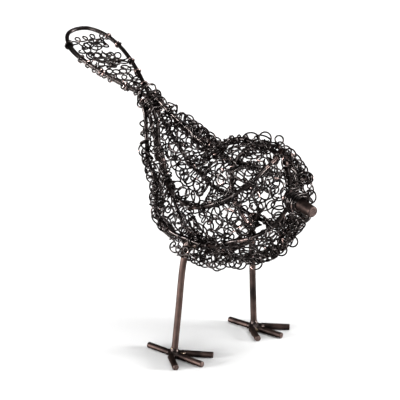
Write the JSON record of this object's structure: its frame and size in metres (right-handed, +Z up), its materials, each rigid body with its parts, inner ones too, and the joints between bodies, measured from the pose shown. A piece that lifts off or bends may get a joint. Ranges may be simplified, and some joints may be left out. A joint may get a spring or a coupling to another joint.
{
  "type": "wire bird figurine",
  "caption": "Standing bird figurine of bent metal wire: a rounded open cage body, a raised paddle tail, a rod beak and straight rod legs on splayed rod toes; a small ornament.",
  "frame": {"origin": "on the ground, under the middle of the bird's box", "axes": "+X is the way the beak points, +Y is the bird's left, +Z is up"},
  "size_m": [0.2983, 0.1271, 0.2356],
  "materials": {
    "blackened_wire": "steel wire with a dark antique copper patina, satin, worn to copper at high spots",
    "brown_rod": "steel rod with a brown antique copper patina, satin, worn along the edges of the cut ends"
  },
  "bodies": {
    "root": {"back_ridge": "blackened_wire", "keel": "blackened_wire", "right_side_rail": "blackened_wire", "left_side_rail": "blackened_wire", "brow_wire": "blackened_wire", "right_lower_rib": "blackened_wire", "left_lower_rib": "blackened_wire", "head_hoop": "blackened_wire", "belly_hoop": "blackened_wire", "tail_loop": "blackened_wire", "beak": "brown_rod", "right_leg": "brown_rod", "left_leg": "brown_rod", "right_foot_back_toe": "brown_rod", "right_foot_middle_toe": "brown_rod", "right_foot_left_toe": "brown_rod", "right_foot_right_toe": "brown_rod", "left_foot_back_toe": "brown_rod", "left_foot_middle_toe": "brown_rod", "left_foot_left_toe": "brown_rod", "left_foot_right_toe": "brown_rod"}
  },
  "joints": []
}
